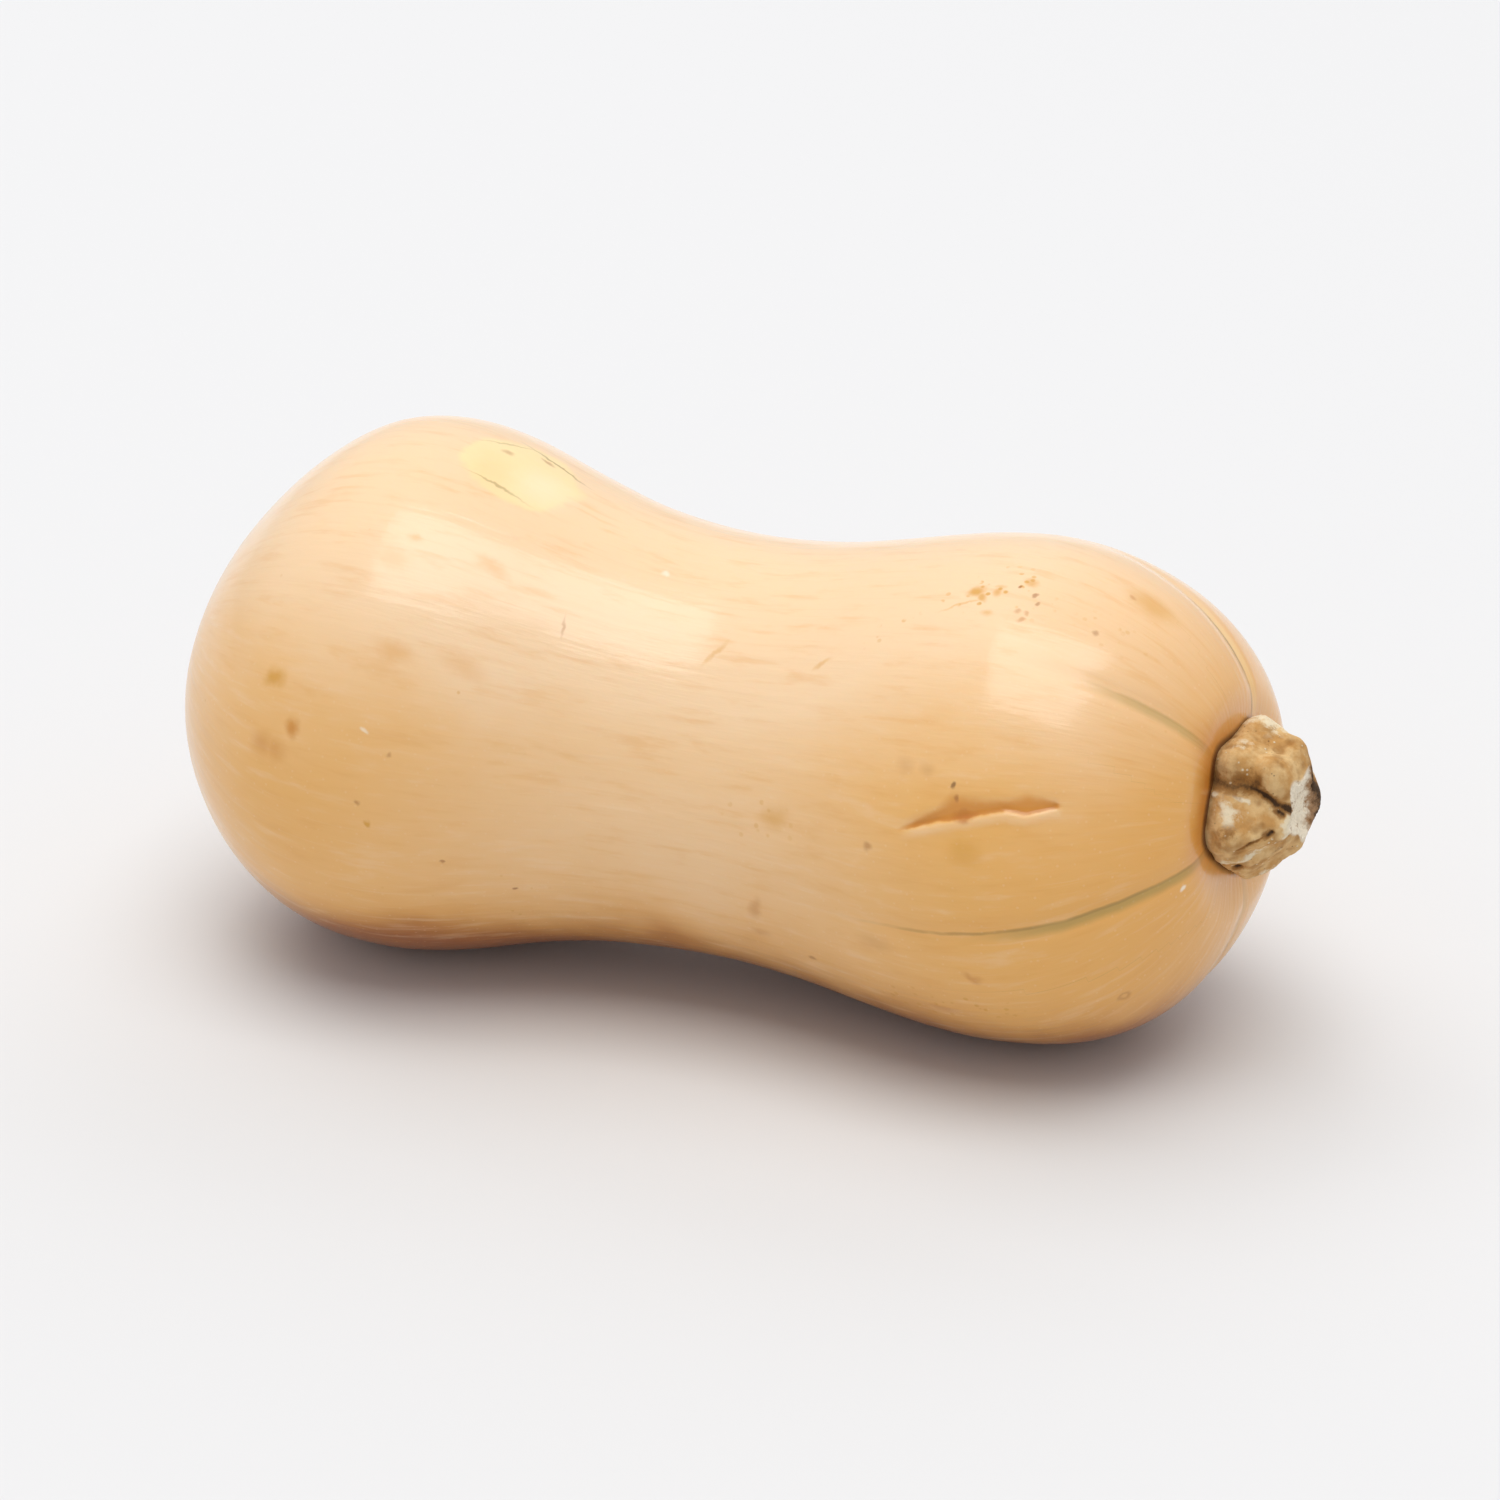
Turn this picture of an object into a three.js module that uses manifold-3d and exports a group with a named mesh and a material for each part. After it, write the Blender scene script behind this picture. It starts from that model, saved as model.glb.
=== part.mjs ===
// Butternut squash: the whole fruit with the short cut stump of its stem, lying on its side.
// Millimetres, +Z up. The long axis runs along X with the stem end at +X, and -Y is the front.
// The origin is the middle of the bottom of the part's box, on the surface that it rests on.
import * as THREE from 'three';
import { mergeVertices } from 'three/addons/utils/BufferGeometryUtils.js';
import Module from 'manifold-3d';

// Driving dimensions of the fruit
const FRUIT_LENGTH = 222.8; // from the blossom end to the stem end, before its hollows
const BULB_RADIUS = 56; // the seed end, the widest place
const WAIST_RADIUS = 42; // the slimmest place
const NECK_RADIUS = 51; // the solid end that carries the stem
const REST_LEVEL = -51.7; // the surface it rests on, below the core line's own zero
const BLOSSOM_HOLLOW = 2.4; // depth of the pucker at the blossom end
const BLOSSOM_HOLLOW_RADIUS = 9;
const BLOSSOM_BUTTON = 1.6; // height of the corky scar in the pucker
const BLOSSOM_BUTTON_RADIUS = 3.6;
const SEAT_HOLLOW = 3.2; // depth of the hollow that the stem sits in
const SEAT_INNER_RADIUS = 11;
const SEAT_OUTER_RADIUS = 25;
const GROOVE_DEPTH = 1.7;
const GROOVE_CREASE_WIDTH = 2.2;
const GROOVE_VALLEY_WIDTH = 9;
const GROOVE_TWIST = 0.02; // degrees that a groove turns for each millimetre along the fruit

// Driving dimensions of the stem
const STEM_HEIGHT = 11.4; // from the bottom of its hollow to the rough cut
const STEM_BASE_RADIUS = 15;
const STEM_CUT_RADIUS = 6.8;
const STEM_OFFSET = 1.2; // how far the stem's middle stands above the middle of the hollow
const STEM_ROOT = 2.6; // how far the stem's own shape runs on below the bottom of the hollow
const CUT_HOLLOW = 1.1; // depth of the pith hollow in the cut
const SEAM_GAP = 0.3; // clear gap between the stem and the fruit's skin

// Outline of the fruit, from the blossom end to the stem end: share of the length, radius.
// An even cubic B-spline follows these rows.
const OUTLINE = [
  [0, 0],
  [0, 0.305 * BULB_RADIUS],
  [0.045, 0.65 * BULB_RADIUS],
  [0.13, 0.972 * BULB_RADIUS],
  [0.25, BULB_RADIUS],
  [0.371, 1.07 * WAIST_RADIUS],
  [0.492, 0.994 * WAIST_RADIUS],
  [0.608, 1.048 * WAIST_RADIUS],
  [0.729, 0.994 * NECK_RADIUS],
  [0.841, 0.989 * NECK_RADIUS],
  [0.926, 0.808 * NECK_RADIUS],
  [0.984, 0.472 * NECK_RADIUS],
  [1, 0],
];

// The bent core line that carries the rings, at even steps along the length, with one row
// beyond each end: sideways (+Y is the back) and up. An even cubic B-spline follows it too.
const CORE_LINE = [
  [-1.2, 21.5],
  [-0.6, 8.2],
  [2.2, 3],
  [6.4, -0.7],
  [10, -3.6],
  [11.6, -3.6],
  [9.4, -1.9],
  [5.1, 7],
  [-2, 2.5],
];

// Grooves round the shoulder, which run from the stem along the neck and fade away.
// Angles are those at the stem end, from the front (0) over the top (90).
const GROOVES = [
  { angle: -90, reach: 60 },
  { angle: -10, reach: 95 },
  { angle: 54, reach: 42 },
  { angle: 114, reach: 50 },
  { angle: 191, reach: 70 },
];

// Stem outline, from its root to the rim of the cut: height above the seat, radius
const STEM_OUTLINE = [
  [-STEM_ROOT, STEM_BASE_RADIUS - 1],
  [-1, STEM_BASE_RADIUS],
  [1, STEM_BASE_RADIUS],
  [3, 0.94 * STEM_BASE_RADIUS],
  [4.8, 0.86 * STEM_BASE_RADIUS],
  [6.6, 0.79 * STEM_BASE_RADIUS],
  [8.2, 0.74 * STEM_BASE_RADIUS],
  [9.6, 0.67 * STEM_BASE_RADIUS],
  [10.7, 0.57 * STEM_BASE_RADIUS],
  [STEM_HEIGHT, STEM_CUT_RADIUS],
];
const STEM_RIDGE_HEIGHT = 1.1; // each ridge stands in line with a groove of the fruit
const STEM_RIDGE_WIDTH = 17; // degrees
const STEM_VALLEY_DEPTH = 0.9;

// Knobs and dents of the stem: angle, height above the seat, how far it stands out, and its
// half widths round the stem (degrees) and up it (millimetres)
const STEM_KNOBS = [
  { angle: 57, height: 8.6, out: 2.2, round: 27, up: 2.8 },
  { angle: 54, height: 2.6, out: 0.9, round: 20, up: 2.4 },
  { angle: 116, height: 8.8, out: 1.2, round: 18, up: 2.8 },
  { angle: 30, height: 4.2, out: -1.6, round: 9, up: 4.2 },
  { angle: 14, height: 9.4, out: -1.4, round: 12, up: 2.2 },
  { angle: -8, height: 4.4, out: 1.3, round: 17, up: 3.2 },
  { angle: 4, height: 8, out: 0.9, round: 12, up: 2 },
  { angle: -46, height: 6, out: 1.2, round: 15, up: 2.4 },
  { angle: -62, height: 2.6, out: 0.8, round: 16, up: 2.2 },
  { angle: -26, height: 7.4, out: -1.3, round: 7, up: 2.6 },
  { angle: -75, height: 9, out: -2.2, round: 26, up: 3 },
  { angle: 170, height: 7.6, out: 1.5, round: 22, up: 2.6 },
  { angle: -130, height: 5.6, out: 1.2, round: 20, up: 3 },
  { angle: 148, height: 4.6, out: -1.2, round: 10, up: 3.6 },
];

// Fineness of the faceted surfaces
const STEPS_PER_ROW = 3;
const MERIDIANS_PER_LOBE = 16;
const MERIDIAN_CROWDING = 0.55; // 0 spaces meridians evenly, towards 1 crowds them at grooves
const STEM_MERIDIANS = 60;

const DEGREE = Math.PI / 180;
const UP = new THREE.Vector3(0, 0, 1);

function smoothStep(from, to, value) {
  return THREE.MathUtils.smoothstep(value, from, to);
}

function bell(distance, width) {
  return Math.exp(-((distance / width) ** 2));
}

// Signed difference of two angles in degrees, from -180 to 180
function turn(angle, from) {
  return THREE.MathUtils.euclideanModulo(angle - from + 180, 360) - 180;
}

// Row of numbers on an even cubic B-spline, at share t of span number span
function splineRow(rows, span, t) {
  const weights = [
    (1 - t) ** 3,
    3 * t ** 3 - 6 * t ** 2 + 4,
    -3 * t ** 3 + 3 * t ** 2 + 3 * t + 1,
    t ** 3,
  ];
  const sum = (column) => weights.reduce((total, w, k) => total + w * rows[span + k][column], 0);
  return rows[0].map((_, column) => sum(column) / 6);
}

function corePoint(along) {
  const spans = CORE_LINE.length - 3;
  const place = (along / FRUIT_LENGTH) * spans;
  const span = THREE.MathUtils.clamp(Math.floor(place), 0, spans - 1);
  const [side, lift] = splineRow(CORE_LINE, span, place - span);
  return new THREE.Vector3(along - FRUIT_LENGTH / 2, side, lift);
}

// Centre of a ring, with the ring's own directions: along the core, to the front and up
function coreFrame(along) {
  const forward = corePoint(along + 0.5).sub(corePoint(along - 0.5)).normalize();
  const front = new THREE.Vector3().crossVectors(forward, UP).normalize();
  const up = new THREE.Vector3().crossVectors(front, forward);
  return { centre: corePoint(along), forward, front, up };
}

function placed(frame, radius, angle, height) {
  return frame.centre.clone()
    .addScaledVector(frame.front, radius * Math.cos(angle * DEGREE))
    .addScaledVector(frame.up, radius * Math.sin(angle * DEGREE))
    .addScaledVector(frame.forward, height);
}

// Stations of the outline: distance along the core line and radius, both ends on the axis.
// The rows mirrored past each end make the surface smooth there.
function outlineStations() {
  const rows = OUTLINE.map(([share, radius]) => [share * FRUIT_LENGTH, radius]);
  const mirrored = ([along, radius]) => [along, -radius];
  const spline = [mirrored(rows[1]), ...rows, mirrored(rows.at(-2))];
  const stations = [];
  for (let span = 0; span < spline.length - 3; span += 1) {
    for (let step = 0; step < STEPS_PER_ROW; step += 1) {
      stations.push(splineRow(spline, span, step / STEPS_PER_ROW));
    }
  }
  stations.push(splineRow(spline, spline.length - 4, 1));
  return stations;
}

// How far the end hollows move a ring along the core line
function hollowShift(along, radius) {
  if (along > FRUIT_LENGTH / 2) {
    return -SEAT_HOLLOW * (1 - smoothStep(SEAT_INNER_RADIUS, SEAT_OUTER_RADIUS, radius));
  }
  const hollow = BLOSSOM_HOLLOW * bell(radius, BLOSSOM_HOLLOW_RADIUS);
  return hollow - BLOSSOM_BUTTON * bell(radius, BLOSSOM_BUTTON_RADIUS);
}

// Angle of a groove where it crosses the ring at this distance along
function grooveAngle(groove, along) {
  return groove.angle + GROOVE_TWIST * (along - FRUIT_LENGTH);
}

// How much the grooves take off the radius
function grooveCut(along, radius, angle) {
  const inStemHollow = smoothStep(0, SEAT_INNER_RADIUS, radius);
  let cut = 0;
  for (const groove of GROOVES) {
    const fade = 1 - smoothStep(0, groove.reach, FRUIT_LENGTH - along);
    const across = turn(angle, grooveAngle(groove, along)) * DEGREE * radius;
    const crease = 0.55 * bell(across, GROOVE_CREASE_WIDTH);
    const valley = 0.45 * bell(across, GROOVE_VALLEY_WIDTH);
    cut += GROOVE_DEPTH * fade * inStemHollow * (crease + valley);
  }
  return cut;
}

// Meridian angles at the stem end: each lobe has the same number, crowded towards its grooves
function meridianAngles() {
  const angles = [];
  GROOVES.forEach((groove, index) => {
    const next = GROOVES[(index + 1) % GROOVES.length].angle;
    const width = THREE.MathUtils.euclideanModulo(next - groove.angle, 360);
    for (let step = 0; step < MERIDIANS_PER_LOBE; step += 1) {
      const share = step / MERIDIANS_PER_LOBE;
      const crowded = share - MERIDIAN_CROWDING * Math.sin(share * 2 * Math.PI) / (2 * Math.PI);
      angles.push(groove.angle + width * crowded);
    }
  });
  return angles;
}

// Closed surface through rings of points, with a single point before and after them
function closedSurface(firstPoint, rings, lastPoint) {
  const points = [firstPoint, ...rings.flat(), lastPoint];
  const perRing = rings[0].length;
  const at = (ring, step) => 1 + ring * perRing + (step % perRing);
  const last = points.length - 1;
  const triangles = [];
  for (let step = 0; step < perRing; step += 1) {
    triangles.push(0, at(0, step), at(0, step + 1));
    for (let ring = 0; ring < rings.length - 1; ring += 1) {
      triangles.push(at(ring, step), at(ring + 1, step), at(ring, step + 1));
      triangles.push(at(ring + 1, step), at(ring + 1, step + 1), at(ring, step + 1));
    }
    triangles.push(last, at(rings.length - 1, step + 1), at(rings.length - 1, step));
  }
  const geometry = new THREE.BufferGeometry().setFromPoints(points);
  geometry.setIndex(triangles);
  return geometry;
}

// The fruit's skin. What would reach below the resting level is pressed flat on it, which
// leaves one small flat spot under the bulb and one under the neck.
function fruitGeometry() {
  const angles = meridianAngles();
  const skinRing = ([along, radius]) => {
    const frame = coreFrame(along);
    const shift = hollowShift(along, radius);
    return angles.map((angle) => {
      const turned = angle + GROOVE_TWIST * (along - FRUIT_LENGTH);
      const point = placed(frame, radius - grooveCut(along, radius, turned), turned, shift);
      point.z = Math.max(point.z, REST_LEVEL);
      return point;
    });
  };
  const stations = outlineStations();
  const pole = ([along, radius]) => placed(coreFrame(along), 0, 0, hollowShift(along, radius));
  return closedSurface(pole(stations[0]), stations.slice(1, -1).map(skinRing), pole(stations.at(-1)));
}

// Radius of the stem at a height above its seat and an angle
function stemRadius(height, outlineRadius, angle) {
  let radius = outlineRadius - STEM_VALLEY_DEPTH;
  for (const groove of GROOVES) {
    const ridge = bell(turn(angle, groove.angle), STEM_RIDGE_WIDTH);
    radius += (STEM_RIDGE_HEIGHT + STEM_VALLEY_DEPTH) * ridge;
  }
  for (const knob of STEM_KNOBS) {
    radius += knob.out * bell(turn(angle, knob.angle), knob.round) * bell(height - knob.height, knob.up);
  }
  return radius;
}

// The stem's whole shape before the fruit's skin cuts its root off: a squat ridged stump
function stemGeometry() {
  const seat = coreFrame(FRUIT_LENGTH);
  seat.centre.addScaledVector(seat.forward, hollowShift(FRUIT_LENGTH, 0));
  seat.centre.addScaledVector(seat.up, STEM_OFFSET);
  const ring = ([height, outlineRadius], shrink = 1) => {
    const step = 360 / STEM_MERIDIANS;
    return Array.from({ length: STEM_MERIDIANS }, (_, k) => {
      const radius = shrink * stemRadius(height, outlineRadius, k * step);
      return placed(seat, radius, k * step, height);
    });
  };
  const sides = STEM_OUTLINE.map((row) => ring(row));
  const pithRim = ring([STEM_HEIGHT - CUT_HOLLOW / 2, STEM_CUT_RADIUS], 0.55);
  const rootPoint = placed(seat, 0, 0, -STEM_ROOT);
  const pithPoint = placed(seat, 0, 0, STEM_HEIGHT - CUT_HOLLOW);
  return closedSurface(rootPoint, [...sides, pithRim], pithPoint);
}

// The same surface moved out along its own normals
function grown(geometry, distance) {
  const copy = geometry.clone();
  copy.computeVertexNormals();
  const { position, normal } = copy.attributes;
  for (let i = 0; i < position.count; i += 1) {
    const point = new THREE.Vector3().fromBufferAttribute(position, i);
    point.addScaledVector(new THREE.Vector3().fromBufferAttribute(normal, i), distance);
    position.setXYZ(i, point.x, point.y, point.z);
  }
  return copy;
}

const wasm = await Module();
wasm.setup();

function toSolid(geometry) {
  const bare = geometry.clone();
  bare.deleteAttribute('normal');
  bare.deleteAttribute('uv');
  const merged = mergeVertices(bare);
  return new wasm.Manifold(new wasm.Mesh({
    numProp: 3,
    vertProperties: new Float32Array(merged.attributes.position.array),
    triVerts: new Uint32Array(merged.index.array),
  }));
}

function toGeometry(solid) {
  const mesh = solid.getMesh();
  const geometry = new THREE.BufferGeometry();
  geometry.setAttribute('position', new THREE.BufferAttribute(mesh.vertProperties, 3));
  geometry.setIndex(new THREE.BufferAttribute(mesh.triVerts, 1));
  return geometry;
}

const skin = fruitGeometry();
skin.computeVertexNormals();
const fruit = new THREE.Mesh(skin, new THREE.MeshStandardMaterial({
  color: 0xecc487,
  roughness: 0.38,
  metalness: 0,
}));
fruit.name = 'fruit';

const stump = toGeometry(toSolid(stemGeometry()).subtract(toSolid(grown(skin, SEAM_GAP))));
stump.computeVertexNormals();
const stem = new THREE.Mesh(stump, new THREE.MeshStandardMaterial({
  color: 0xa98a52,
  roughness: 0.88,
  metalness: 0,
}));
stem.name = 'stem';

const group = new THREE.Group();
group.add(fruit, stem);
const box = new THREE.Box3().setFromObject(group);
const middle = box.getCenter(new THREE.Vector3());
group.position.set(-middle.x, -middle.y, -box.min.z);

export default group;
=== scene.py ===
import math

import bpy
import numpy as np
from mathutils import Matrix, Vector, noise


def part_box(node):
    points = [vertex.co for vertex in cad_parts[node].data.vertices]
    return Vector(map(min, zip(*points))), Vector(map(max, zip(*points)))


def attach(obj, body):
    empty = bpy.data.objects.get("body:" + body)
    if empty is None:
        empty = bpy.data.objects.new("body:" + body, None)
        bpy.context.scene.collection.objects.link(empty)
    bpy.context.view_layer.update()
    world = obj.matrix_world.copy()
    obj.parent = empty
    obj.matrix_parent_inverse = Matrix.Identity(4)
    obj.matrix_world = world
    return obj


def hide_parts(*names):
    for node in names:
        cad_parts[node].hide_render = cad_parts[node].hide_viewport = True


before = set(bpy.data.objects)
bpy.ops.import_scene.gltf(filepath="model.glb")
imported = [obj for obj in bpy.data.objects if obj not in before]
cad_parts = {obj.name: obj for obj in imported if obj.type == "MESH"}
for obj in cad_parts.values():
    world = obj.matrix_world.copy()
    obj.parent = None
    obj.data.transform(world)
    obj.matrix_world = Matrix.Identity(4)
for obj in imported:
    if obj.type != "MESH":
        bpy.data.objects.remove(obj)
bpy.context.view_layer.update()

# A butternut squash lying on its side. The shapes are worked out in millimetres along the same
# bent core line as the solids, then placed on the solids in metres. Angles are in degrees round
# the core line, from the front (0) over the top (90) to the back (180).

MM = 0.001

# Driving dimensions of the fruit, as the solids have them
FRUIT_LENGTH = 222.8
BULB_RADIUS = 56
WAIST_RADIUS = 42
NECK_RADIUS = 51
REST_LEVEL = -51.7
BLOSSOM_HOLLOW = 2.4
BLOSSOM_HOLLOW_RADIUS = 9
BLOSSOM_BUTTON = 1.6
BLOSSOM_BUTTON_RADIUS = 3.6
SEAT_HOLLOW = 3.2
SEAT_INNER_RADIUS = 11
SEAT_OUTER_RADIUS = 25
GROOVE_DEPTH = 1.7
GROOVE_CREASE_WIDTH = 2.2
GROOVE_VALLEY_WIDTH = 9
GROOVE_CREASE_SHARE = 0.55
GROOVE_VALLEY_SHARE = 0.45
GROOVE_TWIST = 0.02
TONE_FADE = 0.5          # share of a groove colour's reach where it starts to fade

# Outline of the fruit: share of the length, radius
OUTLINE = [
    (0, 0),
    (0, 0.305 * BULB_RADIUS),
    (0.045, 0.65 * BULB_RADIUS),
    (0.13, 0.972 * BULB_RADIUS),
    (0.25, BULB_RADIUS),
    (0.371, 1.07 * WAIST_RADIUS),
    (0.492, 0.994 * WAIST_RADIUS),
    (0.608, 1.048 * WAIST_RADIUS),
    (0.729, 0.994 * NECK_RADIUS),
    (0.841, 0.989 * NECK_RADIUS),
    (0.926, 0.808 * NECK_RADIUS),
    (0.984, 0.472 * NECK_RADIUS),
    (1, 0),
]

# Core line, at even steps along the length: sideways and up
CORE_LINE = np.array([
    (-1.2, 21.5),
    (-0.6, 8.2),
    (2.2, 3),
    (6.4, -0.7),
    (10, -3.6),
    (11.6, -3.6),
    (9.4, -1.9),
    (5.1, 7),
    (-2, 2.5),
])

# Grooves round the shoulder: angle at the stem end and reach along the neck, then the strength
# and reach of the dark line, of the grey-green band below it and of the pale strip above it
GROOVES = [
    {"angle": -90, "reach": 60, "line": (0.2, 40), "band": (0.25, 30), "pale": (0.1, 20)},
    {"angle": -10, "reach": 95, "line": (0.5, 80), "band": (0.85, 46), "pale": (0, 20)},
    {"angle": 54, "reach": 42, "line": (0.15, 24), "band": (0.6, 24), "pale": (0, 20)},
    {"angle": 114, "reach": 50, "line": (0.8, 22), "band": (0.1, 20), "pale": (0.6, 24)},
    {"angle": 191, "reach": 70, "line": (0.6, 50), "band": (0.5, 34), "pale": (0.2, 24)},
]

# Driving dimensions of the stem, as the solids have them
STEM_HEIGHT = 11.4
STEM_BASE_RADIUS = 15
STEM_CUT_RADIUS = 6.8
STEM_OFFSET = 1.2
STEM_ROOT = 2.6
CUT_HOLLOW = 1.1
STEM_RIDGE_HEIGHT = 1.1
STEM_RIDGE_WIDTH = 17
STEM_VALLEY_DEPTH = 0.9

# The stem's outline: height over its seat, radius
STEM_OUTLINE = [
    (-STEM_ROOT, STEM_BASE_RADIUS - 1),
    (-1, STEM_BASE_RADIUS),
    (1, STEM_BASE_RADIUS),
    (3, 0.94 * STEM_BASE_RADIUS),
    (4.8, 0.86 * STEM_BASE_RADIUS),
    (6.6, 0.79 * STEM_BASE_RADIUS),
    (8.2, 0.74 * STEM_BASE_RADIUS),
    (9.6, 0.67 * STEM_BASE_RADIUS),
    (10.7, 0.57 * STEM_BASE_RADIUS),
    (STEM_HEIGHT, STEM_CUT_RADIUS),
]

# Knobs and dents of the stem: angle, height, how far out, half width in degrees, half height
STEM_KNOBS = [
    (57, 8.6, 2.2, 27, 2.8),
    (54, 2.6, 0.9, 20, 2.4),
    (116, 8.8, 1.2, 18, 2.8),
    (30, 4.2, -1.6, 9, 4.2),
    (14, 9.4, -1.4, 12, 2.2),
    (-8, 4.4, 1.3, 17, 3.2),
    (4, 8, 0.9, 12, 2),
    (-46, 6, 1.2, 15, 2.4),
    (-62, 2.6, 0.8, 16, 2.2),
    (-26, 7.4, -1.3, 7, 2.6),
    (-75, 9, -2.2, 26, 3),
    (170, 7.6, 1.5, 22, 2.6),
    (-130, 5.6, 1.2, 20, 3),
    (148, 4.6, -1.2, 10, 3.6),
]

# Cracks, ridges and patches of the stem's cork: path as angle and height, half width, height over
# the cork, and how dark or pale it is. The darkness of the sunk strokes (cracks, the valley, the
# hole) is painted shade; that of the raised ones is the cork's own colour.
STEM_STROKES = [
    ([(39, -2), (37, 3.6), (40, 5.5)], 2.7, -0.8, 0.72, 0),
    ([(38, 5), (35, 7.1), (27, 9.3), (19, 11.6)], 1.1, -1, 1, 0),
    ([(16, 9.6), (11, 10.4)], 0.9, -0.7, 0.9, 0),
    ([(25, -1.5), (24, 4.8)], 0.55, 0.55, 0, 0.95),
    ([(14, 1.6), (9, 2.6)], 1.9, 0.2, 0, 0.85),
    ([(-2, 1.8), (0, 3.2)], 2.2, 0.3, 0.4, 0),
    ([(-6, 9.5), (-8, 8.9)], 1, -1.3, 1, 0),
    ([(-8, 8.6), (-11, 6.4), (-17, 4.2)], 0.45, -0.6, 0.7, 0),
    ([(-14, 11.2), (-28, 6.2), (-34, 3.8), (-33, -1)], 1, 0.6, 0, 0.6),
    ([(-47, 2.2), (-48, 1.4)], 0.7, -0.8, 0.9, 0),
    ([(-18, 10.6), (-4, 11), (6, 11.3)], 1.2, 0.2, 0, 0.9),
    ([(110, 0), (112, 3)], 3.2, 0.2, 0, 0.75),
    ([(72, 2), (60, 1.6)], 1.8, 0, 0, 0.4),
    ([(92, 0), (86, 6), (90, 10)], 0.7, -0.4, 0.25, 0),
    ([(136, 0), (146, 5), (140, 11)], 1.2, -0.9, 0.6, 0),
    ([(152, 11.6), (175, 11.2), (200, 10.8), (215, 10.8)], 2.8, 0.5, 0.95, 0),
    ([(118, 11.8), (136, 11.4)], 0.9, 0.3, 0.9, 0),
    ([(168, 1), (172, 6)], 1.6, 0.3, 0, 0.5),
    ([(196, -1), (204, 5), (198, 10)], 1.1, -0.9, 0.7, 0),
    ([(228, 2), (224, 7)], 1.4, 0.3, 0, 0.5),
    ([(-110, -1), (-104, 5), (-112, 9)], 1, -0.8, 0.7, 0),
    ([(-78, 1), (-84, 6)], 1.4, 0.2, 0, 0.5),
]

# Unevenness of the stem's cork: height, size and the noise's offset. The cut has it in shares.
CORK_LUMPS = (0.36, 3.4)
CORK_KNOTS = (0.2, 1.5, 3.1)
CORK_GRAINS = (0.13, 0.6, 5.7)
CORK_START = 0.5         # height over the seat where it is at its full strength
CUT_LUMPS = 0.7
CUT_GRAINS = 2.6
CUT_STROKES = 0.5
CUT_CALM = 0.8           # how much less uneven the cut is outwards
CUT_SLOPE = (0.1, 0.7)   # where its hollow starts and ends, as shares of the way inwards
RIM_RINGS = (4, 3)       # rings before and after the rim that turn the side into the cut
RIM_MARGIN = 1           # how far below the rim a crack or ridge already keeps inside it
STEM_SIDE_SHARE = 0.75   # share of the rings that lie on the side

# Rind round the foot of the stem: its crevice, the reach of its warm colour, the middle and half
# width in degrees of the warm side and of the gaping side, and how much closer the rind is
# elsewhere
STEM_CREVICE = 0.9
STEM_CREVICE_WIDTH = 1.2
WARM_REACH = 10
WARM_SIDE = (25, 62)
GAPING_SIDE = (10, 70)
CLOSER = 1.5

# Unevenness of the rind: height, size and the noise's offset. Both it and the extra creases of
# the grooves start between two radii.
RIND_WAVES = (0.34, 34)
RIND_RIPPLES = (0.1, 11, 7.3)
UNEVEN_START = (4, 20)
CREASE_START = (6, 14)
CREASE_DEPTH = 0.32
CREASE_WIDTH = 0.9

# The healed slit on the neck, by its lower edge: distance along the core line, angle, and the
# width of the sunk rind above it
SLIT = [
    (166, 12.6, 0.3),
    (171, 14.2, 1.2),
    (175.5, 15.6, 2),
    (180, 16.6, 4.4),
    (186.5, 18, 2.6),
    (191, 18.9, 1.9),
    (194.5, 17.9, 4.2),
    (198, 19, 2.6),
    (201, 20, 0.4),
]
SLIT_PEAK_ANGLE = 16.6
SLIT_DEPTH = 0.8
SLIT_OPENS = (0.3, 1.5)  # widths between which it reaches that depth
SLIT_EDGE = 0.4          # half width of the step down at its lower edge
SLIT_RAMP = 0.8          # width of the way back up above it
SLIT_LIP = 0.2
SLIT_LIP_WIDTH = 0.9

# Fineness of the solids, which sets their box, and of the visible surfaces
SOLID_STEPS_PER_ROW = 3
SOLID_MERIDIANS_PER_LOBE = 16
SOLID_CROWDING = 0.55
SKIN_RINGS = 400
SKIN_MERIDIANS = 240
STEM_RINGS = 170
STEM_MERIDIANS = 250
MORE_AT_GROOVE = (1.5, 5)   # extra meridians at a groove, and over how many degrees
MORE_AT_SLIT = (2, 6)       # the same at the slit
FINE_STEPS_PER_ROW = 200    # steps that distances over the skin are measured in
FINE_ANGLES = 3601          # angles that the meridians' spacing is measured at
CORE_STEP = 0.5             # half of the step that the core line's direction is taken over
BOX_TOLERANCE = 0.05        # how far the fruit may be off its packed box
FAR = 15.0                  # distance at which grooves, slit and stem no longer matter
STRAIGHT_RADIUS = 45        # radius of the straightened fruit that the markings are placed on
MARK_REACH = 40             # how far a mark reaches through the straightened fruit


def bell(distance, width):
    return np.exp(-((distance / width) ** 2))


def smooth_step(low, high, value):
    share = np.clip((value - low) / (high - low), 0, 1)
    return share * share * (3 - 2 * share)


def turn(angle, start):
    return (angle - start + 180) % 360 - 180


def spline_points(rows, place):
    """Points of an even cubic B-spline through rows, at span numbers with shares."""
    rows = np.asarray(rows, float)
    span = np.clip(np.floor(place).astype(int), 0, len(rows) - 4)
    t = (place - span)[:, None]
    weights = [
        (1 - t) ** 3,
        3 * t ** 3 - 6 * t ** 2 + 4,
        -3 * t ** 3 + 3 * t ** 2 + 3 * t + 1,
        t ** 3,
    ]
    return sum(weight * rows[span + k] for k, weight in enumerate(weights)) / 6


def core_points(along):
    place = along / FRUIT_LENGTH * (len(CORE_LINE) - 3)
    sideways_up = spline_points(CORE_LINE, place)
    return np.column_stack([along - FRUIT_LENGTH / 2, sideways_up])


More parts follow.
